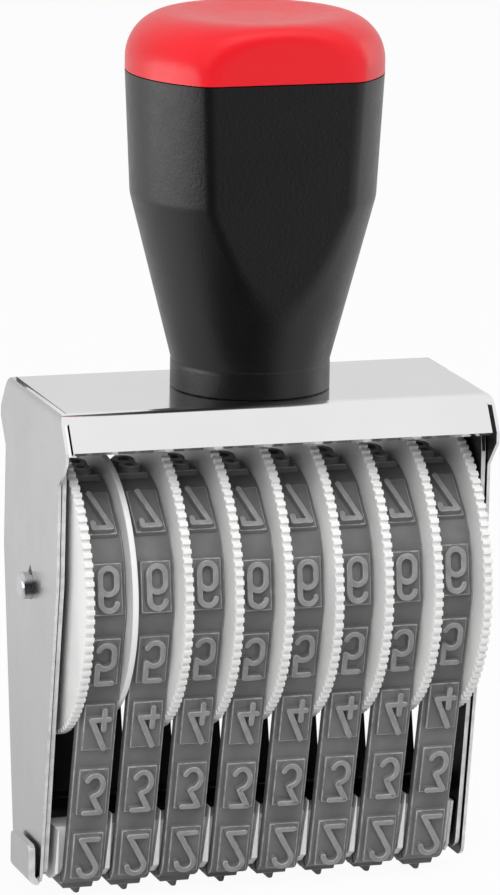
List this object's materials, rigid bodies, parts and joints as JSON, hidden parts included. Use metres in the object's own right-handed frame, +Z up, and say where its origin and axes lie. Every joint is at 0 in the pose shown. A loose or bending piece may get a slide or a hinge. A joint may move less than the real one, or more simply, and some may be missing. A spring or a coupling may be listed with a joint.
{
  "type": "numbering machine",
  "caption": "Hand numbering machine: eight grey rubber figure bands on toothed white wheels in a chromed steel housing, with a black handle and a red cap.",
  "frame": {"origin": "on the printing face that it stands on, under the middle of the overall box", "axes": "+Z up from the printing face to the cap of the handle; +X along the wheels' axle, to the right of someone reading the front; -Y is the front, where the figures are read and set"},
  "size_m": [0.0522, 0.033, 0.0976],
  "materials": {
    "chromed_steel": "polished nickel-chrome plate on bent steel sheet",
    "bright_steel": "turned bright steel",
    "white_plastic": "moulded white plastic, satin",
    "black_plastic": "moulded black plastic, satin gloss",
    "red_plastic": "moulded red plastic, glossy",
    "grey_rubber": "moulded grey rubber on a fabric backing"
  },
  "bodies": {
    "housing": {"cover": "chromed_steel", "frame": "chromed_steel", "axle": "bright_steel", "divider_disc": "white_plastic", "anvil": "white_plastic", "tie_bar": "black_plastic", "handle_body": "black_plastic", "handle_cap": "red_plastic", "handle_screw": "bright_steel", "handle_washer": "bright_steel", "band_1": "grey_rubber", "band_2": "grey_rubber", "band_3": "grey_rubber", "band_4": "grey_rubber", "band_5": "grey_rubber", "band_6": "grey_rubber", "band_7": "grey_rubber", "band_8": "grey_rubber"},
    "wheel_1_body": {"wheel_1": "white_plastic"},
    "wheel_2_body": {"wheel_2": "white_plastic"},
    "wheel_3_body": {"wheel_3": "white_plastic"},
    "wheel_4_body": {"wheel_4": "white_plastic"},
    "wheel_5_body": {"wheel_5": "white_plastic"},
    "wheel_6_body": {"wheel_6": "white_plastic"},
    "wheel_7_body": {"wheel_7": "white_plastic"},
    "wheel_8_body": {"wheel_8": "white_plastic"}
  },
  "joints": [
    {"name": "wheel_1_turn", "type": "hinge", "parent": "housing", "child": "wheel_1_body", "pos_m": [0, 0, 0.0348], "axis": [1, 0, 0], "continuous": true},
    {"name": "wheel_2_turn", "type": "hinge", "parent": "housing", "child": "wheel_2_body", "pos_m": [0, 0, 0.0348], "axis": [1, 0, 0], "continuous": true},
    {"name": "wheel_3_turn", "type": "hinge", "parent": "housing", "child": "wheel_3_body", "pos_m": [0, 0, 0.0348], "axis": [1, 0, 0], "continuous": true},
    {"name": "wheel_4_turn", "type": "hinge", "parent": "housing", "child": "wheel_4_body", "pos_m": [0, 0, 0.0348], "axis": [1, 0, 0], "continuous": true},
    {"name": "wheel_5_turn", "type": "hinge", "parent": "housing", "child": "wheel_5_body", "pos_m": [0, 0, 0.0348], "axis": [1, 0, 0], "continuous": true},
    {"name": "wheel_6_turn", "type": "hinge", "parent": "housing", "child": "wheel_6_body", "pos_m": [0, 0, 0.0348], "axis": [1, 0, 0], "continuous": true},
    {"name": "wheel_7_turn", "type": "hinge", "parent": "housing", "child": "wheel_7_body", "pos_m": [0, 0, 0.0348], "axis": [1, 0, 0], "continuous": true},
    {"name": "wheel_8_turn", "type": "hinge", "parent": "housing", "child": "wheel_8_body", "pos_m": [0, 0, 0.0348], "axis": [1, 0, 0], "continuous": true}
  ]
}
